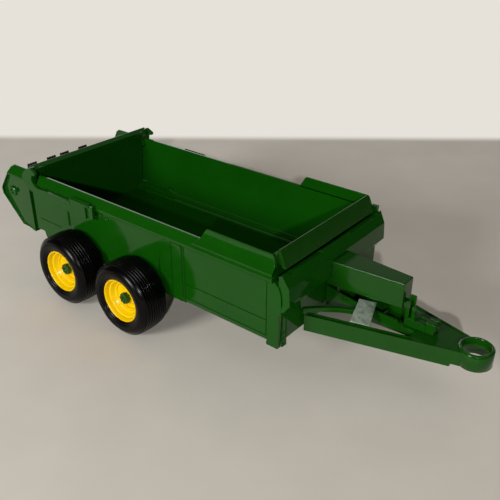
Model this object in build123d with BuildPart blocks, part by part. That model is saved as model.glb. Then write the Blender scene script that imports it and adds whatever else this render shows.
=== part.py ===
"""A 1:16 toy manure spreader: open box on four tandem wheels, with a tongue in front and a beater behind.

+X points forward to the hitch ring, +Y to the spreader's left, +Z up. The wheels stand on Z = 0,
and X = 0 is half way along the whole toy. All sizes are in millimetres.
"""
from build123d import *
import os
from math import cos, radians, sin

os.makedirs("parts", exist_ok=True)
SIDES = (("left", 1), ("right", -1))

# ---------------------------------------------------------------- lengths along the toy
plate_reach = 47.4        # the beater plates behind the side walls
body_length = 294.0       # the side walls, rear edge to front edge
tongue_length = 122.0     # the side walls' front edge to the middle of the hitch ring
ring_radius = 12.8
box_rear = (ring_radius - plate_reach - body_length - tongue_length) / 2 - ring_radius + plate_reach
box_front = box_rear + body_length
ring_x = box_front + tongue_length
bogie_from_rear = 113.6   # the side walls' rear edge to the middle between the axles
tyre_radius = 33.0
tyre_spacing = 11.2       # front tyre to rear tyre
axle_gap = 2 * tyre_radius + tyre_spacing
bogie_x = box_rear + bogie_from_rear
front_axle_x = bogie_x + axle_gap / 2
rear_axle_x = bogie_x - axle_gap / 2

# ---------------------------------------------------------------- heights
axle_z = tyre_radius
axle_radius = 2.0
wall_foot = axle_z + 3.0  # lower edge of the side walls, clear of the axles
floor_bottom = wall_foot + 3.6
floor_thickness = 3.2
floor_top = floor_bottom + floor_thickness
side_height = 53.0
wall_top = wall_foot + side_height
rail_height = 10.4
rail_top = wall_top + rail_height
rail_lip = 2.8            # the rail's outer lip above the wall's top
extension_height = 9.7

# ---------------------------------------------------------------- widths, from the middle plane out
box_half = 65.6           # inner face of the side walls
wall_thickness = 4.4
wall_out = box_half + wall_thickness
rail_out = wall_out + 2.0
tyre_gap = 3.0            # side wall to tyre
tyre_width = 29.0
tyre_in = wall_out + tyre_gap
tyre_out = tyre_in + tyre_width
arm_gap = 0.5             # rail lip to the gate's arms
arm_thickness = 2.6
arm_in = rail_out + arm_gap
arm_out = arm_in + arm_thickness
running_clearance = 0.05  # a shaft in its hole, on the radius


def save(piece, name):
    """Label a finished piece and write its STEP file."""
    piece.part.label = name
    export_step(piece.part, f"parts/{name}.step")


# ================================================================ load box
# Floor: a flat pan, and on each long edge a sloped strip that rises to the side wall.
strip_width = 9.0
strip_height = 6.0
hump_height = 3.6         # a stop for the push panel, on the strips near the rear
hump_from_rear = 46.0
hump_length = 8.0
floor_rear = box_rear + 1.0
floor_front = box_front - 1.0
with BuildPart() as floor_pan:
    with BuildSketch(Plane.YZ.offset(floor_rear)):
        with BuildLine():
            Polyline(
                (-box_half, floor_bottom), (box_half, floor_bottom),
                (box_half, floor_top), (-box_half, floor_top), close=True,
            )
        make_face()
    extrude(amount=floor_front - floor_rear)
save(floor_pan, "floor_pan")

strip_section = [         # Y, Z
    (box_half - strip_width, floor_top), (box_half, floor_top), (box_half, floor_top + strip_height),
]
hump_section = [
    (box_half - strip_width + 1.0, floor_top), (box_half, floor_top),
    (box_half, floor_top + strip_height + hump_height),
    (box_half - 3.0, floor_top + strip_height + hump_height - 1.5),
]
strip_runs = [            # section, rear end, length
    (strip_section, floor_rear, floor_front - floor_rear),
    (hump_section, box_rear + hump_from_rear, hump_length),
]
for name, side in SIDES:
    with BuildPart() as floor_strip:
        for section, rear_end, length in strip_runs:
            with BuildSketch(Plane.YZ.offset(rear_end)):
                with BuildLine():
                    Polyline(*[(side * y, z) for y, z in section], close=True)
                make_face()
            extrude(amount=length)
    save(floor_strip, f"floor_strip_{name}")

# Side walls: flat castings with a sloped front corner and a foot below it.
post_foot = wall_foot - 3.4
post_width = 11.5
rear_step = 6.0           # the lower edge is higher behind the wheels
rib_proud = 1.4
front_lap = 1.6           # the walls' upper front edge past the lower one
side_outline = [          # X, Z
    (box_rear, wall_foot + rear_step),
    (box_rear + 13.0, wall_foot + rear_step),
    (box_rear + 15.0, wall_foot),
    (box_front - post_width, wall_foot),
    (box_front - post_width, post_foot),
    (box_front - 1.0, post_foot),
    (box_front - 0.2, wall_foot + 27.0),
    (box_front + front_lap, wall_foot + 28.6),
    (box_front + front_lap - 0.4, wall_top - 11.5),
    (box_front + front_lap - 1.0, wall_top - 4.8),
    (box_front - 3.6, wall_top),
    (box_rear, wall_top),
]
wall_ribs = [             # from the rear edge, foot, distance below the wall's top, width
    (3.0, 7.0, 11.0, 2.4),
    (53.0, 23.0, 13.0, 2.0),
    (197.0, 1.6, 2.0, 2.2),
]
for name, side in SIDES:
    with BuildPart() as side_wall:
        with BuildSketch(Plane.XZ.offset(-side * box_half)):
            with BuildLine():
                Polyline(*side_outline, close=True)
            make_face()
        extrude(amount=-side * wall_thickness)
        for from_rear, foot, below_top, width in wall_ribs:
            with BuildSketch(Plane.XZ.offset(-side * wall_out)):
                with BuildLine():
                    Polyline(
                        (box_rear + from_rear - width / 2, wall_foot + foot),
                        (box_rear + from_rear + width / 2, wall_foot + foot),
                        (box_rear + from_rear + width / 2, wall_top - below_top),
                        (box_rear + from_rear - width / 2, wall_top - below_top),
                        close=True,
                    )
                make_face()
            extrude(amount=-side * rib_proud)
    save(side_wall, f"side_wall_{name}")

# Top rails: a ridge that slopes outwards to a lip over each side wall.
rail_rear = box_rear + 13.0
rail_front = box_front - 6.0
for name, side in SIDES:
    with BuildPart() as top_rail:
        with BuildSketch(Plane.YZ.offset(rail_rear)):
            with BuildLine():
                Polyline(
                    (side * box_half, wall_top),
                    (side * box_half, rail_top),
                    (side * rail_out, wall_top + rail_lip),
                    (side * rail_out, wall_top + 0.6),
                    (side * wall_out, wall_top),
                    close=True,
                )
            make_face()
        extrude(amount=rail_front - rail_rear)
    save(top_rail, f"top_rail_{name}")

# Extension panels: raised front ends of the rails, with a slanted rear end.
extension_length = 79.0   # along the lower lip
extension_rear = rail_front - extension_length
extension_top = rail_top + extension_height
extension_lip = 4.4       # the lip above the rail's own lip
extension_slant = 11.0    # the rear end's slope
extension_corner = 3.4    # the front end's upper corner
rail_slope = (rail_height - rail_lip) / (rail_out - box_half)
lip_seat = 1.4            # the lip's inner edge from the rail's edge
for name, side in SIDES:
    with BuildPart() as extension:
        with BuildSketch(Plane.YZ.offset(extension_rear)):
            with BuildLine():
                Polyline(
                    (side * box_half, rail_top),
                    (side * box_half, extension_top),
                    (side * (box_half + 0.8), extension_top),
                    (side * rail_out, wall_top + rail_lip + extension_lip),
                    (side * rail_out, wall_top + rail_lip + extension_lip - 1.6),
                    (side * (rail_out - lip_seat), wall_top + rail_lip + rail_slope * lip_seat),
                    close=True,
                )
            make_face()
        extrude(amount=extension_length)
        with BuildSketch(Plane.XZ.offset(-side * (box_half - 1.0))):
            with BuildLine():
                Polyline(
                    (extension_rear - 1.0, wall_top),
                    (extension_rear + extension_slant, extension_top + 1.0),
                    (extension_rear - 1.0, extension_top + 1.0),
                    close=True,
                )
                Polyline(
                    (rail_front - extension_corner, extension_top + 1.0),
                    (rail_front - extension_corner, extension_top),
                    (rail_front, extension_top - 2 * extension_corner),
                    (rail_front + 1.0, extension_top - 2 * extension_corner),
                    (rail_front + 1.0, extension_top + 1.0),
                    close=True,
                )
            make_face()
        extrude(amount=-side * (rail_out - box_half + 2.0), mode=Mode.SUBTRACT)
    save(extension, f"extension_{name}")

# ================================================================ front wall
# The outer face leans back above a break line, and steps back to a lower apron between two posts.
apron_reach = 3.0         # the apron, ahead of the side walls' front edge
apron_top = wall_foot + 30.4
apron_foot = floor_bottom
apron_half = 61.5         # the posts are outside it
post_reach = 0.6
face_half = wall_out - 1.5
face_outer = [            # X from the side walls' front edge, Z
    (1.8, rail_top - 2.6),
    (7.0, wall_foot + 51.2),
    (8.0, wall_foot + 37.0),
    (apron_reach, apron_top),
]
face_inner = [
    (-0.8, apron_top),
    (0.2, wall_foot + 32.0),
    (4.0, wall_foot + 38.4),
    (3.0, wall_foot + 49.8),
    (-2.0, rail_top - 4.6),
]

recess_half = 14.0        # a recess for the rear end of the cover
recess_top = wall_foot + 50.0
slot_inner = 20.0         # slots between the front wall and the push panel
slot_outer = box_half - 3.0
slot_depth = 2.0
face_reach = max(x for x, z in face_outer)
with BuildPart() as front_wall:
    with BuildSketch(Plane.XZ.offset(-wall_out)):
        with BuildLine():
            Polyline(*[(box_front + x, z) for x, z in face_outer + face_inner], close=True)
        make_face()
    extrude(amount=2 * wall_out)
    with BuildSketch(Plane.XY):
        with BuildLine():
            Polyline(
                (box_front - 8.0, -box_half), (box_front + front_lap, -box_half),
                (box_front + front_lap, -wall_out), (box_front + face_reach, -face_half),
                (box_front + face_reach, face_half), (box_front + front_lap, wall_out),
                (box_front + front_lap, box_half), (box_front - 8.0, box_half),
                close=True,
            )
        make_face()
    extrude(amount=rail_top + 20.0, mode=Mode.INTERSECT)
    for half, reach, foot in ((apron_half, apron_reach, apron_foot), (box_half, post_reach, post_foot)):
        with BuildSketch(Plane.XY.offset(foot)):
            with BuildLine():
                Polyline(
                    (box_front - 0.8, -half), (box_front + reach, -half),
                    (box_front + reach, half), (box_front - 0.8, half),
                    close=True,
                )
            make_face()
            if half > apron_half:
                with Locations((box_front, 0)):
                    Rectangle(4 * apron_reach, 2 * apron_half, mode=Mode.SUBTRACT)
        extrude(amount=apron_top - foot)
    for name, side in SIDES:
        with BuildSketch(Plane.XY.offset(rail_top - 2.6 - slot_depth)):
            with Locations((box_front, side * (slot_inner + slot_outer) / 2)):
                Rectangle(30.0, slot_outer - slot_inner)
        extrude(amount=slot_depth + 6.0, mode=Mode.SUBTRACT)
    with BuildSketch(Plane.XY.offset(apron_top - 1.0)):
        with Locations((box_front + apron_reach + 6.0, 0)):
            Rectangle(12.0, 2 * recess_half)
    extrude(amount=recess_top - apron_top + 1.0, mode=Mode.SUBTRACT)
save(front_wall, "front_wall")

# ================================================================ push panel
panel_gap = 1.4           # push panel to the side walls
panel_thickness = 3.0
panel_half = box_half - panel_gap
panel_front = box_front - 7.5
panel_foot = floor_top + 0.6
panel_top = extension_top + 2.4
head_reach = 6.4          # the leaning head over the front wall
head_lean = 5.4
head_thickness = 3.2
head_foot = rail_top - 2.0
head_half = panel_half - 2.6
with BuildPart() as push_panel:
    with BuildSketch(Plane.YZ.offset(panel_front - panel_thickness)):
        with BuildLine():
            Polyline(
                (-panel_half + strip_width, panel_foot), (panel_half - strip_width, panel_foot),
                (panel_half, panel_foot + strip_height + 2.0), (panel_half, panel_top),
                (-panel_half, panel_top), (-panel_half, panel_foot + strip_height + 2.0),
                close=True,
            )
        make_face()
    extrude(amount=panel_thickness)
    with BuildSketch(Plane.XZ.offset(-head_half)):
        with BuildLine():
            Polyline(
                (panel_front + head_reach - head_thickness, head_foot), (panel_front + head_reach, head_foot),
                (panel_front + head_reach - head_lean, panel_top),
                (panel_front + head_reach - head_lean - head_thickness, panel_top),
                close=True,
            )
        make_face()
    extrude(amount=2 * head_half)
save(push_panel, "push_panel")

# ================================================================ beater
beater_x = box_rear - 29.2
beater_z = wall_foot + 36.8
beater_radius = 22.4
shaft_radius = 2.5
plate_thickness = 3.4
plate_rim = 2.6
plate_rim_proud = 2.0
plate_outline = [         # X from the side walls' rear edge, Z from their foot
    (0.0, 2.0), (-9.8, 4.1), (-19.6, 4.3), (-46.3, 30.0), (-plate_reach, 36.2),
    (-33.7, 54.2), (0.0, 54.2),
]
band_foot = wall_foot + 54.2
band_top = rail_top + 0.5
band_section = [          # Y, Z of the sloped band along the top
    (box_half, band_foot), (box_half, band_top), (box_half + 1.0, band_top),
    (rail_out, band_foot + 1.6), (rail_out, band_foot),
]
band_rear = box_rear - 33.7
band_front = box_rear - 5.0
for name, side in SIDES:
    with BuildPart() as beater_plate:
        for mode, depth in (("plate", plate_thickness), ("rim", plate_thickness + plate_rim_proud)):
            with BuildSketch(Plane.XZ.offset(-side * box_half)):
                with BuildLine():
                    Polyline(*[(box_rear + x, wall_foot + z) for x, z in plate_outline], close=True)
                make_face()
                if mode == "rim":
                    offset(amount=-plate_rim, mode=Mode.SUBTRACT)
            extrude(amount=-side * depth)
        with BuildSketch(Plane.YZ.offset(band_rear)):
            with BuildLine():
                Polyline(*[(side * y, z) for y, z in band_section], close=True)
            make_face()
        extrude(amount=band_front - band_rear)
        with BuildSketch(Plane.XZ.offset(-side * box_half)):
            with BuildLine():
                Polyline(
                    (band_rear, band_foot), (band_rear + 4.0, band_top - 2.4), (band_rear + 7.8, band_top),
                    (band_rear + 7.8, band_top + 1.0), (band_rear - 1.0, band_top + 1.0),
                    (band_rear - 1.0, band_foot), close=True,
                )
            make_face()
        extrude(amount=-side * (rail_out - box_half), mode=Mode.SUBTRACT)
        with BuildSketch(Plane.XZ.offset(-side * box_half)):
            with Locations((beater_x, beater_z)):
                Circle(shaft_radius + running_clearance)
        extrude(amount=-side * plate_thickness, mode=Mode.SUBTRACT)
    save(beater_plate, f"beater_plate_{name}")

with BuildPart() as beater_shaft:
    with BuildSketch(Plane.XZ.offset(-(box_half + plate_thickness))):
        with Locations((beater_x, beater_z)):
            Circle(shaft_radius)
    extrude(amount=2 * (box_half + plate_thickness))
save(beater_shaft, "beater_shaft")

tube_radius = 5.0
tube_half = box_half - 2.0
paddle_width = 10.0
paddle_thickness = 2.4
paddle_rows = [           # Y of the middle, angle of the first of two opposite blades
    (-57.0, 20), (-45.5, 90), (-34.0, 45), (-22.5, 90), (-6.3, 90), (5.4, 45),
    (17.1, 90), (28.8, 20), (40.5, 45), (55.0, 45),
]
with BuildPart() as beater_drum:
    with BuildSketch(Plane.XZ.offset(-tube_half)):
        with Locations((beater_x, beater_z)):
            Circle(tube_radius)
    extrude(amount=2 * tube_half)
    for y, angle in paddle_rows:
        with BuildSketch(Plane.XZ.offset(-(y + paddle_width / 2))):
            with Locations((beater_x, beater_z)):
                with PolarLocations(0, 2, start_angle=angle):
                    with Locations((beater_radius / 2, 0)):
                        Rectangle(beater_radius, paddle_thickness)
        extrude(amount=paddle_width)
    with BuildSketch(Plane.XZ.offset(-tube_half)):
        with Locations((beater_x, beater_z)):
            Circle(shaft_radius)
    extrude(amount=2 * tube_half, mode=Mode.SUBTRACT)
save(beater_drum, "beater_drum")

# ================================================================ rear gate
pivot_x = box_rear + 87.0
pivot_z = wall_top - 5.5
pivot_radius = 2.5
gate_top = rail_top + 8.6
gate_foot = floor_top + 0.8
gate_side_gap = 0.8       # gate to the side walls
gate_strip_gap = 1.4      # gate to the sloped floor strips
gate_thickness = 2.4
gate_x_top = box_rear + 11.5
gate_x_foot = box_rear + 6.1
gate_flange = 4.4         # the top edge's width
gate_shoulder = rail_top + 1.6
with BuildPart() as gate_panel:
    with BuildSketch(Plane.XZ.offset(-(box_half - gate_side_gap))):
        with BuildLine():
            Polyline(
                (gate_x_foot, gate_foot), (gate_x_top, gate_top),
                (gate_x_top - gate_thickness, gate_top), (gate_x_foot - gate_thickness, gate_foot),
                close=True,
            )
        make_face()
    extrude(amount=2 * (box_half - gate_side_gap))
    for name, side in SIDES:
        with BuildSketch(Plane.YZ.offset(gate_x_foot - 2 * gate_thickness)):
            with BuildLine():
                Polyline(
                    (side * (box_half - strip_width - gate_strip_gap), gate_foot),
                    (side * box_half, floor_top + strip_height + gate_strip_gap),
                    (side * box_half, gate_foot - 1.0),
                    (side * (box_half - strip_width - gate_strip_gap), gate_foot - 1.0), close=True,
                )
            make_face()
        extrude(amount=4 * gate_thickness, mode=Mode.SUBTRACT)
    with BuildSketch(Plane.XZ.offset(-arm_in)):
        with BuildLine():
            Polyline(
                (gate_x_top - gate_thickness, gate_shoulder), (gate_x_top, gate_shoulder + 2.4),
                (gate_x_top, gate_top), (gate_x_top - gate_flange, gate_top),
                (gate_x_top - gate_flange, gate_top - 2.0),
                close=True,
            )
        make_face()
    extrude(amount=2 * arm_in)
save(gate_panel, "gate_panel")

arm_outline = [           # X from the side walls' rear edge, Z from their foot
    (8.0, 72.0), (17.0, 69.0), (11.5, 60.0), (14.5, 53.6), (20.0, 54.6), (71.0, 54.6),
    (73.0, 59.0), (99.0, 59.0), (99.0, 45.6), (95.0, 43.4), (25.0, 43.4), (12.0, 47.6),
    (3.0, 49.0), (-3.0, 58.0),
]
hook_hole = (7.0, 60.0)
hook_hole_radius = 2.2
for name, side in SIDES:
    with BuildPart() as gate_arm:
        with BuildSketch(Plane.XZ.offset(-side * arm_in)):
            with BuildLine():
                Polyline(*[(box_rear + x, wall_foot + z) for x, z in arm_outline], close=True)
            make_face()
            with Locations((pivot_x, pivot_z)):
                Circle(pivot_radius + running_clearance, mode=Mode.SUBTRACT)
            with Locations((box_rear + hook_hole[0], wall_foot + hook_hole[1])):
                Circle(hook_hole_radius, mode=Mode.SUBTRACT)
        extrude(amount=-side * arm_thickness)
    save(gate_arm, f"gate_arm_{name}")

    with BuildPart() as gate_pivot:
        with BuildSketch(Plane.XZ.offset(-side * wall_out)):
            with Locations((pivot_x, pivot_z)):
                Circle(pivot_radius)
        extrude(amount=-side * (arm_out + 1.6 - wall_out))
        with BuildSketch(Plane.XZ.offset(-side * (arm_out + 0.3))):
            with Locations((pivot_x, pivot_z)):
                Circle(pivot_radius + 1.5)
        extrude(amount=-side * 1.3)
    save(gate_pivot, f"gate_pivot_{name}")

# ================================================================ running gear
beam_in = 52.0
beam_width = 7.0
beam_height = 9.0
for name, side in SIDES:
    with BuildPart() as bogie_beam:
        with BuildSketch(Plane.XZ.offset(-side * beam_in)):
            with Locations((bogie_x, axle_z)):
                SlotCenterToCenter(axle_gap, beam_height)
            with Locations((front_axle_x, axle_z), (rear_axle_x, axle_z)):
                Circle(axle_radius, mode=Mode.SUBTRACT)
        extrude(amount=-side * beam_width)
        with BuildSketch(Plane.XZ.offset(-side * beam_in)):
            with BuildLine():
                Polyline(
                    (bogie_x - 12.0, floor_bottom), (bogie_x + 12.0, floor_bottom),
                    (bogie_x + 7.0, axle_z), (bogie_x - 7.0, axle_z),
                    close=True,
                )
            make_face()
        extrude(amount=-side * beam_width)
    save(bogie_beam, f"bogie_beam_{name}")

rim_lip = 19.5
rim_in = tyre_in + 3.0
rim_out = tyre_out - 2.0
web_out = rim_out - 9.5
cap_face = rim_out - 6.0
hub_radius = 5.5
axle_end = web_out + 0.6
for name, x in (("front", front_axle_x), ("rear", rear_axle_x)):
    with BuildPart() as axle:
        with BuildSketch(Plane.XZ.offset(-axle_end)):
            with Locations((x, axle_z)):
                Circle(axle_radius)
        extrude(amount=2 * axle_end)
    save(axle, f"axle_{name}")

tyre_section = [          # radius, distance from the middle plane
    (rim_lip, tyre_in + 3.0), (24.0, tyre_in), (28.6, tyre_in + 0.4), (tyre_radius, tyre_in + 6.0),
    (tyre_radius, tyre_out - 6.0), (28.6, tyre_out - 0.4), (24.0, tyre_out), (rim_lip, tyre_out - 2.4),
]
bore = axle_radius + running_clearance
rim_section = [
    (bore, rim_in), (hub_radius, rim_in), (hub_radius, web_out - 2.4), (14.0, web_out - 2.4),
    (16.5, rim_in), (rim_lip, rim_in), (rim_lip, rim_out), (18.4, rim_out), (18.0, rim_out - 3.0),
    (16.4, rim_out - 4.0), (16.0, rim_out - 6.5), (14.4, rim_out - 7.0), (14.0, web_out),
    (hub_radius, web_out), (hub_radius, web_out + 1.0), (bore, web_out + 1.0),
]
for end, x in (("front", front_axle_x), ("rear", rear_axle_x)):
    for name, side in SIDES:
        wheel_plane = Plane(origin=(x, 0, axle_z), x_dir=(1, 0, 0), z_dir=(0, 0, 1))
        wheel_axis = Axis((x, 0, axle_z), (0, 1, 0))
        for part_name, section in (("tyre", tyre_section), ("rim", rim_section)):
            with BuildPart() as turned:
                with BuildSketch(wheel_plane):
                    with BuildLine():
                        Polyline(*[(r, side * y) for r, y in section], close=True)
                    make_face()
                revolve(axis=wheel_axis)
            save(turned, f"{part_name}_{end}_{name}")
        with BuildPart() as hub_cap:
            with BuildSketch(Plane.XZ.offset(-side * (web_out + 1.0))):
                with Locations((x, axle_z)):
                    RegularPolygon(hub_radius, 8)
            extrude(amount=-side * (cap_face - web_out - 1.0))
        save(hub_cap, f"hub_cap_{end}_{name}")

# ================================================================ tongue
tongue_top = wall_foot + 14.0
tongue_foot = wall_foot
tongue_rear = box_front + apron_reach
tongue_rear_half = 41.4
tongue_head_x = ring_x - 12.0   # where the tongue is tongue_head_half wide
tongue_head_half = 12.6
beam_edge = 5.4           # width of each side beam
head_rear = box_front + 78.0
taper = (tongue_rear_half - tongue_head_half) / (tongue_head_x - tongue_rear)


def tongue_half(x):
    """Half width of the tongue's outer edge at x."""
    return tongue_rear_half - taper * (x - tongue_rear)


for name, side in SIDES:
    with BuildPart() as beam:
        with BuildSketch(Plane.XY.offset(tongue_foot)):
            with BuildLine():
                Polyline(
                    (tongue_rear, side * tongue_half(tongue_rear)),
                    (head_rear, side * tongue_half(head_rear)),
                    (head_rear, side * (tongue_half(head_rear) - beam_edge)),
                    (tongue_rear, side * (tongue_half(tongue_rear) - beam_edge)),
                    close=True,
                )
            make_face()
        extrude(amount=tongue_top - tongue_foot)
    save(beam, f"tongue_beam_{name}")

# Middle rib: an open channel between the beams, higher at its rear end.
rib_rear_half = 11.0
rib_front_half = 8.5
rib_wall = 1.8
rib_foot = tongue_top - 6.0
rib_outline = [           # X from the tongue's rear end, Z from the tongue's top
    (0.0, 11.6), (3.0, 11.2), (16.0, 8.0), (27.0, 6.1), (44.0, 4.8), (60.5, 3.9), (63.5, 0.0),
    (head_rear - tongue_rear, 0.0), (head_rear - tongue_rear, -6.0), (0.0, -6.0),
]
with BuildPart() as tongue_rib:
    with BuildSketch(Plane.XZ.offset(-rib_rear_half)):
        with BuildLine():
            Polyline(*[(tongue_rear + x, tongue_top + z) for x, z in rib_outline], close=True)
        make_face()
    extrude(amount=2 * rib_rear_half)
    for wall, mode, foot in ((0.0, Mode.INTERSECT, rib_foot), (rib_wall, Mode.SUBTRACT, rib_foot + rib_wall)):
        with BuildSketch(Plane.XY.offset(foot)):
            with BuildLine():
                Polyline(
                    (tongue_rear, -rib_rear_half + wall), (head_rear, -rib_front_half + wall),
                    (head_rear, rib_front_half - wall), (tongue_rear, rib_rear_half - wall), close=True,
                )
            make_face()
        extrude(amount=20.0, mode=mode)
save(tongue_rib, "tongue_rib")

ring_hole = 10.2
ring_foot = tongue_foot + 2.4
ring_top = tongue_top + 2.3
head_step_x = ring_x - 13.0
head_front = ring_x - 6.0 # here the head's sides run into the ring
with BuildPart() as tongue_head:
    with BuildSketch(Plane.XY.offset(tongue_foot)):
        with BuildLine():
            Polyline(
                (head_rear, -tongue_half(head_rear)), (head_front, -tongue_half(head_front)),
                (head_front, tongue_half(head_front)), (head_rear, tongue_half(head_rear)), close=True,
            )
        make_face()
        with Locations((ring_x, 0)):
            Circle(ring_radius, mode=Mode.SUBTRACT)
    extrude(amount=tongue_top - tongue_foot)
    with BuildSketch(Plane.XY.offset(tongue_foot)):
        with Locations((ring_x, 0)):
            Rectangle(2 * (ring_x - head_step_x), 4 * ring_radius)
    extrude(amount=ring_foot - tongue_foot, mode=Mode.SUBTRACT)
save(tongue_head, "tongue_head")

with BuildPart() as hitch_ring:
    with BuildSketch(Plane.XY.offset(ring_foot)):
        with Locations((ring_x, 0)):
            Circle(ring_radius)
            Circle(ring_hole, mode=Mode.SUBTRACT)
    extrude(amount=ring_top - ring_foot)
save(hitch_ring, "hitch_ring")

# ================================================================ cover and small pieces on the tongue
cover_foot = wall_foot + 28.0
cover_top = wall_foot + 49.0
cover_rear = box_front + apron_reach
cover_front = box_front + 65.5
cover_rear_half = 12.0
cover_front_half = 7.0
with BuildPart() as cover:
    with BuildSketch(Plane.XY.offset(cover_foot)):
        with BuildLine():
            Polyline(
                (cover_rear, -cover_rear_half), (cover_front, -cover_front_half),
                (cover_front, cover_front_half), (cover_rear, cover_rear_half), close=True,
            )
        make_face()
    extrude(amount=cover_top - cover_foot)
save(cover, "cylinder_cover")

# The end of the channel: a block under upright plates that hold the cover's front end.
block_half = 5.0
block_top = tongue_top + 6.0
block_rear = cover_front + 2.0
block_length = 17.0
with BuildPart() as end_block:
    with BuildSketch(Plane.XZ.offset(-block_half)):
        with BuildLine():
            Polyline(
                (block_rear, tongue_top), (block_rear + block_length, tongue_top),
                (block_rear + block_length, block_top - 1.0), (block_rear + block_length - 1.0, block_top),
                (block_rear, block_top), close=True,
            )
        make_face()
    extrude(amount=2 * block_half)
save(end_block, "channel_end_block")

plate_base = 1.2
cover_plates = [          # right face's Y, thickness, X from the block's rear end, length, height
    (-block_half, 1.8, 0.0, 3.0, 15.0),
    (-block_half + 1.0, 1.6, 4.4, 3.0, 11.4),
    (0.0, 1.8, 0.0, 5.0, 17.6),
]
with BuildPart() as cover_bracket:
    with BuildSketch(Plane.XY.offset(block_top)):
        with BuildLine():
            Polyline(
                (block_rear, -block_half), (block_rear + 8.0, -block_half),
                (block_rear + 8.0, 2.0), (block_rear, 2.0), close=True,
            )
        make_face()
    extrude(amount=plate_base)
    for y, thickness, rear_end, length, height in cover_plates:
        plate_front = block_rear + rear_end + length
        with BuildSketch(Plane.XZ.offset(-(y + thickness))):
            with BuildLine():
                Polyline(
                    (block_rear + rear_end, block_top), (plate_front, block_top),
                    (plate_front, block_top + height - 2.0), (plate_front - 1.2, block_top + height),
                    (block_rear + rear_end, block_top + height), close=True,
                )
            make_face()
        extrude(amount=thickness)
    with BuildSketch(Plane.YZ.offset(cover_front)):
        with BuildLine():
            Polyline(
                (-block_half, cover_foot + 1.0), (1.8, cover_foot + 1.0),
                (1.8, cover_foot + 5.0), (-block_half, cover_foot + 5.0), close=True,
            )
        make_face()
    extrude(amount=block_rear - cover_front + 1.0)
save(cover_bracket, "cover_bracket")

stop_rear = block_rear + block_length
stop_length = 8.0
stop_height = 8.8
with BuildPart() as drawbar_stop:
    with BuildSketch(Plane.XZ.offset(-block_half)):
        with BuildLine():
            Polyline(
                (stop_rear, tongue_top), (stop_rear + stop_length, tongue_top),
                (stop_rear + stop_length, tongue_top + stop_height - 1.0),
                (stop_rear + stop_length - 1.0, tongue_top + stop_height),
                (stop_rear, tongue_top + stop_height), close=True,
            )
        make_face()
    extrude(amount=2 * block_half)
save(drawbar_stop, "drawbar_stop")

# A bare steel stay leans from the right beam over the channel, and a curved pipe joins apron and channel.
stay_x = tongue_rear + 31.6
stay_foot_y = -tongue_half(stay_x) + beam_edge
stay_turn = 13.0          # its foot's angle to the X axis, in degrees
stay_lean = 31.0          # from level
stay_length = 20.4
stay_thickness = 1.0
stay_plane = Plane(
    origin=(stay_x, stay_foot_y, tongue_top),
    x_dir=(cos(radians(stay_turn)), sin(radians(stay_turn)), 0),
    z_dir=(
        sin(radians(stay_lean)) * sin(radians(stay_turn)),
        -sin(radians(stay_lean)) * cos(radians(stay_turn)),
        cos(radians(stay_lean)),
    ),
)
with BuildPart() as stay_plate:
    with BuildSketch(stay_plane):
        with BuildLine():
            Polyline((0.0, 0.0), (15.4, 0.0), (14.8, stay_length), (1.2, stay_length), close=True)
        make_face()
    extrude(amount=stay_thickness)
save(stay_plate, "stay_plate")

pipe_foot = tongue_top + 4.2
pipe_fall = 0.09          # it falls this much for each millimetre forward
pipe_height = 3.8
pipe_edges = [            # X from the tongue's rear end, Y: start, middle and end of the two curved edges
    ((0.0, -46.2), (12.0, -30.4), (36.0, -15.6)),
    ((0.0, -42.0), (12.0, -27.2), (36.0, -13.0)),
]
pipe_end = (42.0, -10.4)  # against the channel's wall
pipe_plane = Plane(origin=(tongue_rear, 0, pipe_foot), x_dir=(1, 0, -pipe_fall), z_dir=(pipe_fall, 0, 1))
with BuildPart() as feed_pipe:
    with BuildSketch(pipe_plane):
        with BuildLine():
            (outer_rear, outer_middle, outer_front), (inner_rear, inner_middle, inner_front) = pipe_edges
            ThreePointArc(outer_rear, outer_middle, outer_front)
            Polyline(outer_front, pipe_end, inner_front)
            ThreePointArc(inner_front, inner_middle, inner_rear)
            Line(inner_rear, outer_rear)
        make_face()
    extrude(amount=pipe_height)
    with BuildSketch(Plane.YZ.offset(tongue_rear)):
        Rectangle(200.0, 200.0)
    extrude(amount=-4.0, mode=Mode.SUBTRACT)
save(feed_pipe, "feed_pipe")
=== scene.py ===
"""Looks for a toy manure spreader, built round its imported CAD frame.

Each operator builds one group of pieces, and the panel in the 3D view's sidebar lists them.
Shapes are drawn in millimetres in the frame's own axes (+X to the hitch ring, +Y left, +Z up).
"""
import math

import bmesh
import bpy
from bpy.props import FloatProperty, FloatVectorProperty, IntProperty, PointerProperty, StringProperty
from mathutils import Matrix, Vector


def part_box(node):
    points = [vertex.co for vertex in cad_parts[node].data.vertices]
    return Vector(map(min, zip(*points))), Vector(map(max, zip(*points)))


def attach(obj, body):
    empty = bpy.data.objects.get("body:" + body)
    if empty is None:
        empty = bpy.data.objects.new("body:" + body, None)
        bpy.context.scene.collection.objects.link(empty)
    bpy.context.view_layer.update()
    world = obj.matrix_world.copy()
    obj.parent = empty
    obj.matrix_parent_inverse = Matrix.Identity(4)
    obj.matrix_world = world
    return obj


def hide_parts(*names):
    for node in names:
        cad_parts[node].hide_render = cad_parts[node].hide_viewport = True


bl_info = {
    "name": "Toy Manure Spreader",
    "version": (1, 0, 0),
    "blender": (4, 5, 0),
    "location": "View3D > Sidebar > Spreader",
    "description": "Builds the castings, mouldings, wheels and stage of a toy manure spreader",
    "category": "Object",
}

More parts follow.
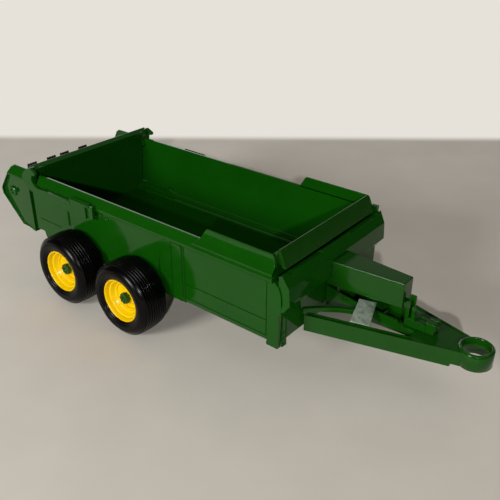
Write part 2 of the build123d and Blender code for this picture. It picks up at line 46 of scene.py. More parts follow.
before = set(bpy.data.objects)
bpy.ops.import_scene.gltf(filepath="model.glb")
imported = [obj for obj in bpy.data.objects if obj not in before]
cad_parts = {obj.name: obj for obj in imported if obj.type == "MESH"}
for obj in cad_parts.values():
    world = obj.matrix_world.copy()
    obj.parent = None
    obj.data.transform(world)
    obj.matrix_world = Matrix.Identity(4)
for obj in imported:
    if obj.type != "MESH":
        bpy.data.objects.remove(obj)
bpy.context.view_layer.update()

MM = 0.001
SIDES = {"left": 1, "right": -1}
ENDS = ("front", "rear")
WHEELS = [(f"{end}_{name}", side) for end in ENDS for name, side in SIDES.items()]
PLANES = {"x": (1, 2, 0), "y": (0, 2, 1), "z": (0, 1, 2)}  # an outline's two axes, then the axis it is drawn along
BEHIND = (-0.62, 0.78, 0.0)  # level direction from the object to the wall behind it
BESIDE = (0.78, 0.62, 0.0)  # level direction along that wall


# ---------------------------------------------------------------- sizes and colours a user would change
def number(label, note, value, unit="NONE"):
    """A property that holds a number."""
    return FloatProperty(name=label, description=note, default=value, unit=unit)


def count(label, note, value, low, high):
    """A property that holds a whole number between two limits."""
    return IntProperty(name=label, description=note, default=value, min=low, max=high)


def position(label, note, value):
    """A property that holds a point."""
    return FloatVectorProperty(name=label, description=note, default=value, subtype="TRANSLATION")


def colour(label, note, hex_code):
    """A property that holds an sRGB hex colour."""
    return StringProperty(name=label, description=note, default=hex_code)


class SpreaderSizes(bpy.types.PropertyGroup):
    """Sizes of the cast and moulded detail."""

    cast_edge: number("Cast edge", "Rounding of the die-cast parts' edges", 0.0005, "LENGTH")
    moulded_edge: number("Moulded edge", "Rounding of the moulded parts' edges", 0.0006, "LENGTH")
    groove_width: number("Groove width", "Width of the lines cast into the side walls", 0.0009, "LENGTH")
    groove_depth: number("Groove depth", "Depth of the lines cast into the side walls", 0.0006, "LENGTH")
    tread_depth: number("Tread depth", "Depth of the grooves between the tread ribs", 0.0011, "LENGTH")
    tread_ribs: count("Tread ribs", "Ribs round each tyre's tread", 9, 3, 15)
    paddle_teeth: count("Paddle teeth", "Teeth on the tip of each beater paddle", 4, 2, 8)


class SpreaderColours(bpy.types.PropertyGroup):
    """sRGB hex colours of the finishes."""

    enamel: colour("Enamel", "Green gloss enamel on the die-cast box", "#0b4404")
    plastic: colour("Green plastic", "Green moulded plastic of the tongue and panel", "#0d4104")
    yellow: colour("Yellow plastic", "Yellow moulded rims", "#e6be00")
    rubber: colour("Rubber", "Black moulded tyres", "#030303")
    black: colour("Black plastic", "Black moulded beater", "#070708")
    # Both zinc colours are tinted green: a painted reflection of the green box round the stay plate, laid over the
    # zinc's own grey.
    bright_zinc_green_reflection: colour("Galvanised steel", "Bright patches of the zinc coat", "#cfe0d2")
    dull_zinc_green_reflection: colour("Dull zinc", "Dull patches of the zinc coat", "#9fb3a3")
    zinc: colour("Zinc plate", "Plated axles and shaft", "#b4b7b8")
    floor: colour("Floor", "Pale table top", "#e0d9ce")
    backdrop: colour("Backdrop", "Pale wall behind the object", "#e6e2da")
    room: colour("Room", "The dim rest of the room", "#332f2b")


class SpreaderStage(bpy.types.PropertyGroup):
    """Camera, lamps and floor."""

    camera_at: position("Camera", "Camera position", (0.3416, -0.4024, 0.3405))
    camera_aim: position("Aim", "Point the camera looks at", (0.0211, -0.0011, 0.0600))
    camera_roll: number("Roll", "Camera roll", math.radians(0.18), "ROTATION")
    lens: number("Lens", "Focal length for a 36 mm sensor, in millimetres", 48.8)
    floor_radius: number("Floor radius", "Radius of the round floor", 12.0, "LENGTH")
    key_power: number("Key power", "Power of the wide key lamp, in watts", 31.0, "POWER")
    flash_power: number("Flash power", "Power of the small lamp beside the camera, in watts", 20.0, "POWER")
    window_power: number("Window power", "Power of the wide soft lamp behind, in watts", 5.5, "POWER")
    sky_strength: number("Sky strength", "Strength of the light from the walls and ceiling", 1.0)


def linear(hex_code):
    """An sRGB hex colour as linear RGBA."""
    values = [int(hex_code[i:i + 2], 16) / 255 for i in (1, 3, 5)]
    return [v / 12.92 if v <= 0.04045 else ((v + 0.055) / 1.055) ** 2.4 for v in values] + [1.0]


# ---------------------------------------------------------------- measures and outlines
def span(node):
    """A CAD node's lowest and highest corners at rest, in millimetres."""
    low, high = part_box(node)
    return low / MM, high / MM


def side_span(node, side):
    """A side node's lowest and highest corners, then its inner and outer distance from the middle plane."""
    low, high = span(node)
    return low, high, *sorted((side * low.y, side * high.y))


def about(first, second, offsets):
    """An outline given as offsets from two values."""
    return [(first + a, second + b) for a, b in offsets]


def symmetric(half_plan):
    """A plan from its points on one side of the middle plane and their mirror images."""
    return [(x, -y) for x, y in half_plan] + [(x, y) for x, y in reversed(half_plan)]


def circle(centre, radius, count=32):
    """Points of a circle in an outline's plane."""
    angles = [math.tau * i / count for i in range(count)]
    return [(centre[0] + radius * math.cos(a), centre[1] + radius * math.sin(a)) for a in angles]


def rounded(outline, radius, steps=4):
    """The outline with its corners rounded."""
    result = []
    for i, corner in enumerate(outline):
        here = Vector(corner)
        before, after = Vector(outline[i - 1]) - here, Vector(outline[(i + 1) % len(outline)]) - here
        reach = min(radius, 0.45 * before.length, 0.45 * after.length)
        start, end = here + before.normalized() * reach, here + after.normalized() * reach
        for k in range(steps + 1):
            t = k / steps
            result.append(tuple((1 - t) ** 2 * start + 2 * t * (1 - t) * here + t * t * end))
    return result


def placed(axis, first, second, level):
    """A point from its place in an outline's plane and its level along the axis."""
    point = [0.0, 0.0, 0.0]
    for index, value in zip(PLANES[axis], (first, second, level)):
        point[index] = value
    return point


# ---------------------------------------------------------------- shapes
def skinned(rings, closed=False, caps_last=False):
    """A skin over rings of points, closed into a loop or capped at both ends.

    The faces' order decides how a cut splits them, so the caps come first or last.
    """
    bm = bmesh.new()
    rings = [[bm.verts.new(point) for point in ring] for ring in rings]
    caps = [] if closed else [rings[0], rings[-1]]
    sides = []
    for ring, following in zip(rings, rings[1:] + rings[:1] if closed else rings[1:]):
        for k in range(len(ring)):
            m = (k + 1) % len(ring)
            sides.append((ring[k], ring[m], following[m], following[k]))
    for face in sides + caps if caps_last else caps + sides:
        bm.faces.new(face)
    bmesh.ops.recalc_face_normals(bm, faces=bm.faces)
    return bm


def prism(axis, outline, start, end):
    """An outline in the two other axes, drawn along one axis."""
    return skinned([[placed(axis, a, b, level) for a, b in outline] for level in (start, end)])


def block(x, y, z):
    """A rectangular block from three (low, high) pairs."""
    return prism("z", ((x[0], y[0]), (x[1], y[0]), (x[1], y[1]), (x[0], y[1])), *z)


def slab(side, x, y, z):
    """A block on one side, where y is a pair of distances from the middle plane."""
    return block(x, sorted((side * y[0], side * y[1])), z)


def along(side, section, start, end):
    """A section of (distance from the middle plane, height) on one side, drawn along X."""
    return prism("x", [(side * y, z) for y, z in section], start, end)


def across(side, outline, near, far):
    """An outline of (x, height) on one side, drawn between two distances from the middle plane."""
    return prism("y", outline, side * near, side * far)


def upward(side, plan, low, high):
    """A plan of (x, distance from the middle plane) on one side, drawn upwards."""
    return prism("z", [(x, side * y) for x, y in plan], low, high)


def turned(axis, section, centre, count=64, dent=None):
    """A closed section of (radius, height) turned about the Y or Z axis through centre.

    dent(angle, index) sinks a point of the section.
    """
    rings = []
    for i in range(count):
        angle = math.tau * i / count
        ring = []
        for index, (radius, height) in enumerate(section):
            sunk = dent(angle, index) if dent else 0.0
            offset = placed(axis, radius * math.cos(angle), radius * math.sin(angle), height - sunk)
            ring.append([c + o for c, o in zip(centre, offset)])
        rings.append(ring)
    return skinned(rings, closed=True)


def knob(side, section, x, level, z, count):
    """A section of (radius, height outwards) turned about an axis across the toy, on one side."""
    return turned("y", [(radius, side * height) for radius, height in section], (x, side * level, z), count)


def swept(path, half_width, half_height):
    """A bar of rectangular section along a path of points that lies nearly level."""
    rings = []
    for i, point in enumerate(path):
        here = Vector(point)
        run = Vector(path[min(i + 1, len(path) - 1)]) - Vector(path[max(i - 1, 0)])
        aside = Vector((-run.y, run.x, 0)).normalized()
        up = run.cross(aside).normalized()
        up = up if up.z > 0 else -up
        rings.append([here + aside * a * half_width + up * b * half_height
                      for a, b in ((-1, -1), (1, -1), (1, 1), (-1, 1))])
    return skinned(rings)


def mesh_of(bm, name="shape"):
    """A mesh made from a shape, which it uses up."""
    mesh = bpy.data.meshes.new(name)
    bm.to_mesh(mesh)
    bm.free()
    return mesh


def shown(name, data):
    """A new object in the scene."""
    thing = bpy.data.objects.new(name, data)
    bpy.context.scene.collection.objects.link(thing)
    return thing


def merged(*shapes):
    """Several shapes in one, with no cutting where they cross."""
    result = bmesh.new()
    for bm in shapes:
        mesh = mesh_of(bm)
        result.from_mesh(mesh)
        bpy.data.meshes.remove(mesh)
    return result


def combined(how, *shapes):
    """The union of closed shapes, or the first one's difference from or intersection with the others."""
    holders = [shown("shape", mesh_of(bm)) for bm in shapes]
    for tool in holders[1:]:
        modifier = holders[0].modifiers.new("combine", "BOOLEAN")
        modifier.operation, modifier.object, modifier.solver = how, tool, "EXACT"
    bpy.context.view_layer.update()
    result = bmesh.new()
    result.from_object(holders[0], bpy.context.evaluated_depsgraph_get())
    for holder in holders:
        mesh = holder.data
        bpy.data.objects.remove(holder)
        bpy.data.meshes.remove(mesh)
    if not result.faces:
        raise RuntimeError(f"{how} left nothing")
    bmesh.ops.dissolve_limit(
        result, angle_limit=math.radians(0.5), verts=result.verts, edges=result.edges)
    return result


def joined(*shapes):
    """The union of closed shapes."""
    return combined("UNION", *shapes)


def cut(shape, *tools):
    """A closed shape without what the tools take away."""
    return combined("DIFFERENCE", shape, *tools)


# ---------------------------------------------------------------- pieces
def soften(piece, edge, angle=28.0):
    """Round a piece's edges, as casting and moulding do, and shade it smooth between them."""
    if edge:
        bevel = piece.modifiers.new("edges", "BEVEL")
        bevel.width, bevel.segments = edge, 3
        bevel.limit_method, bevel.angle_limit = "ANGLE", math.radians(angle)
        bevel.harden_normals = True
    piece.data.shade_smooth()


def place(name, bm, material, body, slot, *nodes, edge=0.0, angle=28.0):
    """Make a shape a piece that rides on a body and stands for CAD nodes."""
    bmesh.ops.remove_doubles(bm, verts=bm.verts, dist=1e-4)
    bmesh.ops.recalc_face_normals(bm, faces=bm.faces)
    bm.transform(Matrix.Scale(MM, 4))
    piece = shown(name, mesh_of(bm, name))
    piece.data.materials.append(material)
    soften(piece, edge, angle)
    if not edge:
        piece.data.set_sharp_from_angle(angle=math.radians(angle))
    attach(piece, body)
    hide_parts(*nodes)


def cast(name, bm, *nodes, body="body", share=0.8, angle=24.0):
    """Place a die-cast piece, its edges rounded by a share of the usual radius."""
    edge = share * bpy.context.scene.spreader_sizes.cast_edge
    place(name, bm, finish(gloss_enamel), body, "green_enamel", *nodes, edge=edge, angle=angle)


def mould(name, bm, *nodes, body="body", share=1.0, angle=24.0):
    """Place a green moulded piece, its edges rounded by a share of the usual radius."""
    edge = share * bpy.context.scene.spreader_sizes.moulded_edge
    place(name, bm, finish(green_abs), body, "green_plastic", *nodes, edge=edge, angle=angle)


def finish_node(node, material, edge):
    """Give a CAD node that stays in view its finish and rounded edges."""
    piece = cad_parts[node]
    piece.data.materials.clear()
    piece.data.materials.append(material)
    weld = piece.modifiers.new("weld", "WELD")
    weld.merge_threshold = 0.01 * MM
    flat = piece.modifiers.new("flat", "DECIMATE")
    flat.decimate_type, flat.angle_limit = "DISSOLVE", math.radians(1.0)
    soften(piece, edge)


# ---------------------------------------------------------------- finishes
def add(tree, kind, settings=None, links=None):
    """Add a node, set its properties and sockets, and link sockets to other nodes' outputs."""
    node = tree.nodes.new(kind)
    for key, value in (settings or {}).items():
        if isinstance(key, str) and hasattr(node, key):
            setattr(node, key, value)
        else:
            node.inputs[key].default_value = value
    for key, source in (links or {}).items():
        tree.links.new(source, node.inputs[key])
    return node


def new_material(name):
    """An empty node material, its tree, and the object's own coordinates in it."""
    material = bpy.data.materials.new(name)
    material.use_nodes = True
    tree = material.node_tree
    tree.nodes.clear()
    return material, tree, add(tree, "ShaderNodeTexCoord").outputs["Object"]


def texture(tree, at, kind, grain, **settings):
    """A pattern over the object, with features of a size in millimetres."""
    return add(tree, f"ShaderNodeTex{kind}", {"Scale": 1 / (grain * MM), **settings}, {"Vector": at}).outputs


def ramp(tree, factor, low_at, low, high_at, high):
    """A blend from one linear colour to another between two values of a factor."""
    node = add(tree, "ShaderNodeValToRGB", links={"Fac": factor})
    for element, place_at, shade in zip(node.color_ramp.elements, (low_at, high_at), (low, high)):
        element.position, element.color = place_at, shade
    return node.outputs["Color"]


def tinted(tree, at, hex_code, grain, spread):
    """A colour that drifts lighter and darker by a share, in patches of a size in millimetres."""
    patches = texture(tree, at, "Noise", grain, Detail=4.0)["Fac"]
    low, high = ([c * share for c in linear(hex_code)[:3]] + [1.0] for share in (1 - spread, 1 + spread))
    return ramp(tree, patches, 0.3, low, 0.7, high)


def bumped(tree, height, strength, depth):
    """The normal of a surface raised by a pattern, to a depth in millimetres."""
    settings = {"Strength": strength, "Distance": depth * MM}
    return add(tree, "ShaderNodeBump", settings, {"Height": height}).outputs["Normal"]


def between(tree, value, low, high):
    """A pattern's values stretched between two limits."""
    return add(tree, "ShaderNodeMapRange", {"To Min": low, "To Max": high}, {"Value": value}).outputs["Result"]


def principled(tree, settings, base, normal, **links):
    """The shader of a solid surface."""
    links = {"Base Color": base, "Normal": normal, **links}
    return add(tree, "ShaderNodeBsdfPrincipled", settings, links).outputs["BSDF"]


def output(tree, surface):
    """Show a shader as the material's surface."""
    add(tree, "ShaderNodeOutputMaterial", links={"Surface": surface})


def gloss_enamel(colours):
    """Gloss enamel sprayed on a zinc casting: a wet-looking clear top over deep green, with faint orange peel."""
    material, tree, at = new_material("Gloss enamel on zinc casting")
    peel = bumped(tree, texture(tree, at, "Noise", 1.6, Detail=2.0)["Fac"], 0.05, 0.05)
    film = between(tree, texture(tree, at, "Noise", 22.0, Detail=5.0)["Fac"], 0.05, 0.13)
    output(tree, principled(tree, {"IOR": 1.5, "Specular IOR Level": 0.28},
                            tinted(tree, at, colours.enamel, 28.0, 0.06), peel, Roughness=film))
    return material


def green_abs(colours):
    """Glossy green ABS, injection moulded: even colour, a soft sheen and a faint flow pattern."""
    material, tree, at = new_material("Moulded ABS, green")
    skin = bumped(tree, texture(tree, at, "Noise", 0.9, Detail=3.0)["Fac"], 0.06, 0.05)
    output(tree, principled(tree, {"IOR": 1.53, "Specular IOR Level": 0.3, "Roughness": 0.12},
                            tinted(tree, at, colours.plastic, 16.0, 0.05), skin))
    return material


def yellow_abs(colours):
    """Glossy yellow ABS, injection moulded: strong even colour that glows a little at thin edges."""
    material, tree, at = new_material("Moulded ABS, yellow")
    skin = bumped(tree, texture(tree, at, "Noise", 0.8, Detail=3.0)["Fac"], 0.05, 0.05)
    glow = {"Subsurface Weight": 0.08, "Subsurface Scale": 0.4 * MM}
    output(tree, principled(tree, {"IOR": 1.53, "Specular IOR Level": 0.22, "Roughness": 0.24, **glow},
                            tinted(tree, at, colours.yellow, 6.0, 0.05), skin))
    return material


def tyre_rubber(colours):
    """Moulded rubber: near black, satin, with fine mould texture and a trace of dust."""
    material, tree, at = new_material("Moulded rubber, black")
    grain = bumped(tree, texture(tree, at, "Noise", 0.5, Detail=4.0)["Fac"], 0.15, 0.05)
    film = between(tree, texture(tree, at, "Noise", 7.0, Detail=3.0)["Fac"], 0.16, 0.28)
    output(tree, principled(tree, {"IOR": 1.52, "Specular IOR Level": 0.13},
                            tinted(tree, at, colours.rubber, 5.0, 0.25), grain, Roughness=film))
    return material


def black_nylon(colours):
    """Moulded nylon: matt black with a fine spark-eroded texture."""
    material, tree, at = new_material("Moulded nylon, black")
    grain = bumped(tree, texture(tree, at, "Voronoi", 0.4)["Distance"], 0.2, 0.04)
    output(tree, principled(tree, {"IOR": 1.53, "Specular IOR Level": 0.15, "Roughness": 0.45},
                            tinted(tree, at, colours.black, 3.0, 0.2), grain))
    return material


def galvanised_steel(colours):
    """Hot-dip galvanised sheet: bright and dull zinc patches, called spangle, a few millimetres across."""
    material, tree, at = new_material("Galvanised steel sheet")
    warp = texture(tree, at, "Noise", 5.0, Detail=4.0, Distortion=1.2)["Fac"]
    spangle = texture(tree, at, "Voronoi", 3.2)["Color"]
    patch = add(tree, "ShaderNodeMix", {"data_type": "FLOAT", 0: 0.7}, {2: spangle, 3: warp}).outputs[0]
    # The patches' green tint is a painted reflection of the green parts round the plate.
    tone = ramp(tree, patch, 0.36, linear(colours.dull_zinc_green_reflection), 0.66, linear(colours.bright_zinc_green_reflection))
    output(tree, principled(tree, {"Metallic": 1.0}, tone, bumped(tree, warp, 0.15, 0.08),
                            Roughness=between(tree, patch, 0.24, 0.5)))
    return material


def zinc_plate(colours):
    """Turned steel rod, zinc plated: silvery, with fine rings from the lathe."""
    material, tree, at = new_material("Zinc-plated steel rod")
    rings = texture(tree, at, "Wave", 0.5 / 0.3, bands_direction="Y")["Fac"]
    output(tree, principled(tree, {"Metallic": 1.0, "Roughness": 0.28},
                            tinted(tree, at, colours.zinc, 4.0, 0.12), bumped(tree, rings, 0.1, 0.02)))
    return material


FINISHES = {}


def finish(make):
    """The material that a function makes, made once."""
    if make not in FINISHES:
        FINISHES[make] = make(bpy.context.scene.spreader_colours)
    return FINISHES[make]


# ---------------------------------------------------------------- load box
class BuildFloor(bpy.types.Operator):
    """Build the load box's floor and the sloped strips along its edges"""

    bl_idname = "spreader.floor"
    bl_label = "Floor"

    def execute(self, context):
        finish_node("floor_pan", finish(gloss_enamel), 0.3 * MM)
        floor_top = span("floor_pan")[1].z
        for name, side in SIDES.items():
            low, high, inner, outer = side_span(f"floor_strip_{name}", side)
            gate_end, start = low.x + 7.5, low.x + 45
            # Each station: x, height of the inner bead, height of the ledge's hump, and how full the valley is.
            hump = ((-4, 0), (-1.6, 0.9), (0, 2.7), (1.8, 3.4), (6.6, 3.4), (8.6, 2.8), (11, 1.1), (14, 0.2),
                    (16, 0))
            stations = [
                (low.x, 1.2, 0, 1), (gate_end, 1.2, 0, 1), (gate_end + 1, 2.4, 0, 0),
                *[(start + x, 2.4, rise, 0) for x, rise in hump], (high.x, 2.4, 0, 0),
            ]
            rings = []
            for x, bead, rise, full in stations:
                section = (
                    (outer, 0), (inner, 0), (inner + 0.1, bead - 0.9), (inner + 1.3, bead - 0.2),
                    (inner + 1.7, bead), (inner + 1.9, 0.3 + 1.5 * full), (inner + 2.4, 0.2 + 1.8 * full),
                    (outer - 2.7, 0.2 + 4.2 * full), (outer - 2.6, 1 + 3.6 * full),
                    (outer - 2.5 - 0.5 * rise, 4.7 + rise), (outer - 1.1 - 0.5 * rise, 5.5 + rise),
                    (outer, 5.6 + rise))
                rings.append([(x, side * y, floor_top + z) for y, z in section])
            strip = skinned(rings, caps_last=True)
            cast(f"floor_strip_slope_{name}", strip, f"floor_strip_{name}", share=0, angle=28)
        return {"FINISHED"}


class BuildWalls(bpy.types.Operator):
    """Build the side walls with their cast grooves, ribs and rivets"""

    bl_idname = "spreader.walls"
    bl_label = "Side walls"

    def execute(self, context):
        sizes = context.scene.spreader_sizes
        width, depth = sizes.groove_width / MM, sizes.groove_depth / MM
        for name, side in SIDES.items():
            low, high, inner, proud = side_span(f"side_wall_{name}", side)
            rear, front, foot, top, outer = low.x, high.x - 1.6, low.z + 3.4, high.z, proud - 1.4
            wall = across(side, (
                (rear, foot + 6), (rear + 13, foot + 6), (rear + 15, foot), *about(front, foot, (
                    (-11.5, 0), (-11.5, -3.4), (-0.9, -3.4), (-0.2, 27), (1.6, 28.4), (1.2, 40.6), (0.7, 45),
                    (-0.8, 49.2), (-3.4, 52))),
                (front - 5, top), (rear, top)), inner, outer)
            # A ridge half way along, on a slightly raised strip, and a blister over the wheels.
            ridge = rear + 197
            strip = slab(side, (ridge - 10.4, ridge - 1.2), (outer - 1, outer + 0.45), (foot, top - 0.6))
            bar = about(ridge, outer, ((-1.3, -1), (-1.3, 0.7), (-0.5, 1.35), (0.7, 1.35), (1.4, -1)))
            blister = cut(
                along(side, ((outer - 1, top - 10), (outer, top - 10.5), (proud, foot + 24), (proud, foot + 14),
                             (outer - 1, foot + 12)), rear + 58, rear + 172),
                upward(side, ((rear + 55, outer - 0.2), (rear + 58.6, outer), (rear + 62.4, proud + 0.3),
                              (rear + 55, proud + 0.3)), foot, top))
            # The wall steps in behind the gate, thins under the rail and turns under at its lower edge.
            tools = [
                slab(side, (rear - 1, rear + 3), (outer - 2.8, outer + 1), (foot - 1, top - 8)),
                slab(side, (rear + 13, front - 6), (outer - 1.2, outer + 1), (top - 1.2, top + 1)),
                along(side, about(outer, foot, ((-1.3, -0.4), (0.02, 3.6), (2, 3.6), (2, -0.4))),
                      ridge + 3, front - 11.5),
                upward(side, about(rear, outer, (
                    (53.2, 0.02), (54.4, -1.6), (55.4, -1.6), (56.8, 0.02), (56.8, 2), (53.2, 2))),
                    foot + 25, top - 9.6),
            ]
            level = ((rear + 10, rear + 42, 18.6), (rear + 180, ridge - 12, 18.2),
                     (ridge + 3, front - 12.2, 18), (ridge + 3, front - 12.2, 4.4))
            upright = ((front - 12, -0.5), (ridge - 11.6, 1), (ridge + 2.4, 1))
            grooves = [((start, end), (foot + z, foot + z + width)) for start, end, z in level]
            grooves += [((x, x + width), (foot + z, top - 1)) for x, z in upright]
            tools += [slab(side, x, (outer - depth, outer + 2), z) for x, z in grooves]
            rivet = ((0.01, -0.5), (1.5, -0.5), (1.5, 0.5), (1.1, 1), (0.5, 1.25), (0.01, 1.3))
            rivets = [knob(side, rivet, rear + x, outer, top - down, 20) for x, down in ((102.4, 3), (110.2, 4.4))]
            wall = cut(joined(wall, strip, upward(side, bar, foot + 0.8, top - 1.2), blister), *tools)
            cast(f"side_wall_casting_{name}", merged(wall, *rivets), f"side_wall_{name}", share=0.7)
        return {"FINISHED"}


class BuildRails(bpy.types.Operator):
    """Build the sloped top rails and the raised extension panels"""

    bl_idname = "spreader.rails"
    bl_label = "Rails and extensions"

    def execute(self, context):
        for name, side in SIDES.items():
            low, high, inner, outer = side_span(f"top_rail_{name}", side)
            rail_top = high.z
            section = ((inner, low.z), (inner, rail_top), (inner + 1.6, rail_top), *about(outer, low.z, (
                (-0.5, 3.4), (0, 2.7), (0, 0.5), (-0.7, 0.1), (-2, 0.1), (-2.2, 0))))
            cast(f"top_rail_casting_{name}", along(side, section, low.x + 1.4, high.x), f"top_rail_{name}")

            low, high = span(f"extension_{name}")
            section = ((inner, rail_top - 1.5), *about(inner, high.z, ((0, 0), (1, 0), (2.5, -7.6))), *about(
                outer, low.z, ((-0.6, 3.2), (0, 2.6), (0, 0.9), (-0.8, 0), (-2.2, 0.4))))
            rear = ((low.x - 1, low.z - 3), (low.x, low.z + 2.2), (low.x + 5.6, rail_top + 0.6), *about(
                low.x, high.z, ((10.2, -1.4), (11.6, 0), (11.6, 2), (-1, 2))))
            corner = about(high.x, high.z, (
                (-3.6, 1), (-3.2, 0), (-1.8, -1.8), (-0.6, -5.4), (0, -8.4), (1, -8.4), (1, 1)))
            tools = [across(side, outline, inner - 1, outer + 1) for outline in (rear, corner)]
            panel = cut(along(side, section, low.x, high.x), *tools)
            cast(f"extension_casting_{name}", panel, f"extension_{name}", share=1)
        return {"FINISHED"}


class BuildFrontWall(bpy.types.Operator):
    """Build the leaning front wall with its apron, posts and slots"""

    bl_idname = "spreader.front_wall"
    bl_label = "Front wall"

    def execute(self, context):
        low, high = span("front_wall")
        front, half, top, foot = high.x - 8, high.y, high.z, low.z + 3.4
        face_half, apron_half, post_half, apron_top = half - 1.5, half - 8.5, half - 4.4, foot + 30.4
        profile = ((front + 1.8, top), *about(front, foot, (
            (7, 51.2), (8, 37), (3, 30.4), (-0.8, 30.4), (0.2, 32), (4, 38.4), (3, 49.8))),
            (front - 2, top - 2))
        plan = symmetric(
            ((front - 8, post_half), (front + 1.6, post_half), (front + 1.6, half), (front + 8, face_half)))
        leaning = combined("INTERSECT", prism("y", profile, -half, half), prism("z", plan, foot, top + 20))
        # Plates close the leaning wall's ends, just inside its corners.
        inside = (*about(front, top, ((-2, -2), (1.2, -0.6))), *about(front, foot, (
            (6.2, 51), (7.2, 37.2), (2.6, 31), (-2, 31))))
        hands = SIDES.values()
        wall = joined(
            leaning, block((front - 0.8, front + 1.2), (-apron_half, apron_half), (low.z + 7, apron_top)),
            *[slab(s, (front - 0.8, front + 0.6), (apron_half - 1, post_half), (low.z, apron_top)) for s in hands],
            *[across(s, inside, post_half - 3, half - 1.2) for s in hands],
            *[slab(s, (front + 0.4, front + 1.3), (apron_half + 1.6, post_half - 0.8), (z, z + 2.2))
              for s in hands for z in (low.z + 1, low.z + 6, low.z + 11)],
            # On the left a lug closes the corner between this wall and the extension.
            block((front - 5.5, front), (post_half + 0.4, half - 0.5), (top - 8, top + 4.2)))
        slots = [slab(s, (front - 15, front + 15), (20, post_half - 3), (top - 2, top + 4)) for s in hands]
        low, high = span("cylinder_cover")
        recess = block((low.x - 0.2, front + 15), (low.y - 0.2, high.y + 0.2), (low.z - 0.4, high.z + 0.2))
        cast("front_wall_casting", cut(wall, recess, *slots), "front_wall")
        return {"FINISHED"}


class BuildPushPanel(bpy.types.Operator):
    """Build the sliding push panel with its leaning head"""

    bl_idname = "spreader.push_panel"
    bl_label = "Push panel"

    def execute(self, context):
        low, high = span("push_panel")
        back, front, half, foot, top = low.x, low.x + 3, high.y, low.z, high.z
        head_half = half - 2.6

        def outline(corner, rise, inset, shoulder, drop):
            """The panel's outline from behind, with its lower corners cut off."""
            return ((-half + corner, foot + rise), (half - corner, foot + rise), (half - inset, foot + shoulder),
                    (half - inset, top - drop), (-half + inset, top - drop), (-half + inset, foot + shoulder))

        whole = outline(9, 0, 0, 9.8, 2.6)
        plate = prism("x", whole, back + 0.8, front)
        recess = prism("x", outline(10.6, 3, 3, 11.6, 6), back - 1, back + 3)
        rim = cut(prism("x", whole, back, back + 1.6), recess)
        head = about(front, top, ((3.2, -14.1), (6.4, -14.1), (0.7, 0), (0.1, 0), (-2.4, -3.2)))
        end = about(front, top, ((-1, -12), (4.5, -12), (0.4, -1), (-1, -2)))
        ends = [across(side, end, head_half - 1.6, head_half) for side in SIDES.values()]
        ribs = [block((back, back + 2), (y - 0.8, y + 0.8), (foot + 2, top - 3)) for y in (-half / 3, half / 3)]
        panel = joined(plate, rim, prism("y", head, -head_half, head_half), *ends, *ribs)
        mould("push_panel_moulding", panel, "push_panel", body="push_panel")
        return {"FINISHED"}


# ---------------------------------------------------------------- beater and gate
class BuildBeaterPlates(bpy.types.Operator):
    """Build the end plates that carry the beater behind the box"""

    bl_idname = "spreader.beater_plates"
    bl_label = "Beater plates"

    def execute(self, context):
        low, high = span("beater_drum")
        centre = (low + high) / 2
        for name, side in SIDES.items():
            low, high, inner, outer = side_span(f"beater_plate_{name}", side)
            front, foot, band_foot = high.x, low.z - 2, low.z + 52.2
            # A thin rim stands round the rear and lower edges of the face.
            rim = 1.1
            full = (*about(front, foot, ((0, 2), (-9.8, 4.1), (-19.6, 4.3), (-46.3, 30))), (low.x, foot + 36.2),
                    (front - 33.7, band_foot), (front, band_foot))
            face = (*about(front, foot, ((0, 2 + rim), (-9, 4.1 + rim), (-18.6, 4.3 + rim), (-45.3, 30.6))),
                    (low.x + rim, foot + 36.3), (front - 32.9, band_foot), (front, band_foot))
            # The face leans inwards towards the rear, so the rim stands proudest there.
            lean = 3 / (front - low.x)
            rings = [[(x, side * inner, z) for x, z in full]]
            for outline, slope in ((full, 0), (face, 0), (face, lean)):
                rings.append([(x, side * (outer - 0.3 - slope * (front - x)), z) for x, z in outline])
            bore = across(side, circle((centre.x + 8.6, centre.z + 3.6), 2.4, 20), inner + 2.2, outer + 1)
            plate = cut(skinned(rings, caps_last=True), bore)
            band = along(side, ((inner, band_foot - 0.5), (inner, high.z), (inner + 1.2, high.z), *about(
                outer, band_foot, ((-0.4, 2.2), (0, 1.5), (0, -0.2), (-2.6, -1)))), front - 33.7, front - 5)
            ramp_outline = (
                (front - 35, band_foot - 2), (front - 33.9, band_foot - 0.6), *about(front, high.z, (
                    (-29.7, -2.4), (-25.9, 0), (-25.9, 1), (-36, 1))), (front - 36, band_foot - 2))
            band = cut(band, across(side, ramp_outline, inner - 1, outer + 1))
            boss = knob(side, ((0.01, 1), (5, 1), (5, 5.6), (4.2, 6.2), (3, 6.2), (2.7, 5.2), (0.01, 5.2)),
                        centre.x, inner, centre.z, 28)
            cast(f"beater_plate_casting_{name}", merged(plate, band, boss), f"beater_plate_{name}")
        return {"FINISHED"}


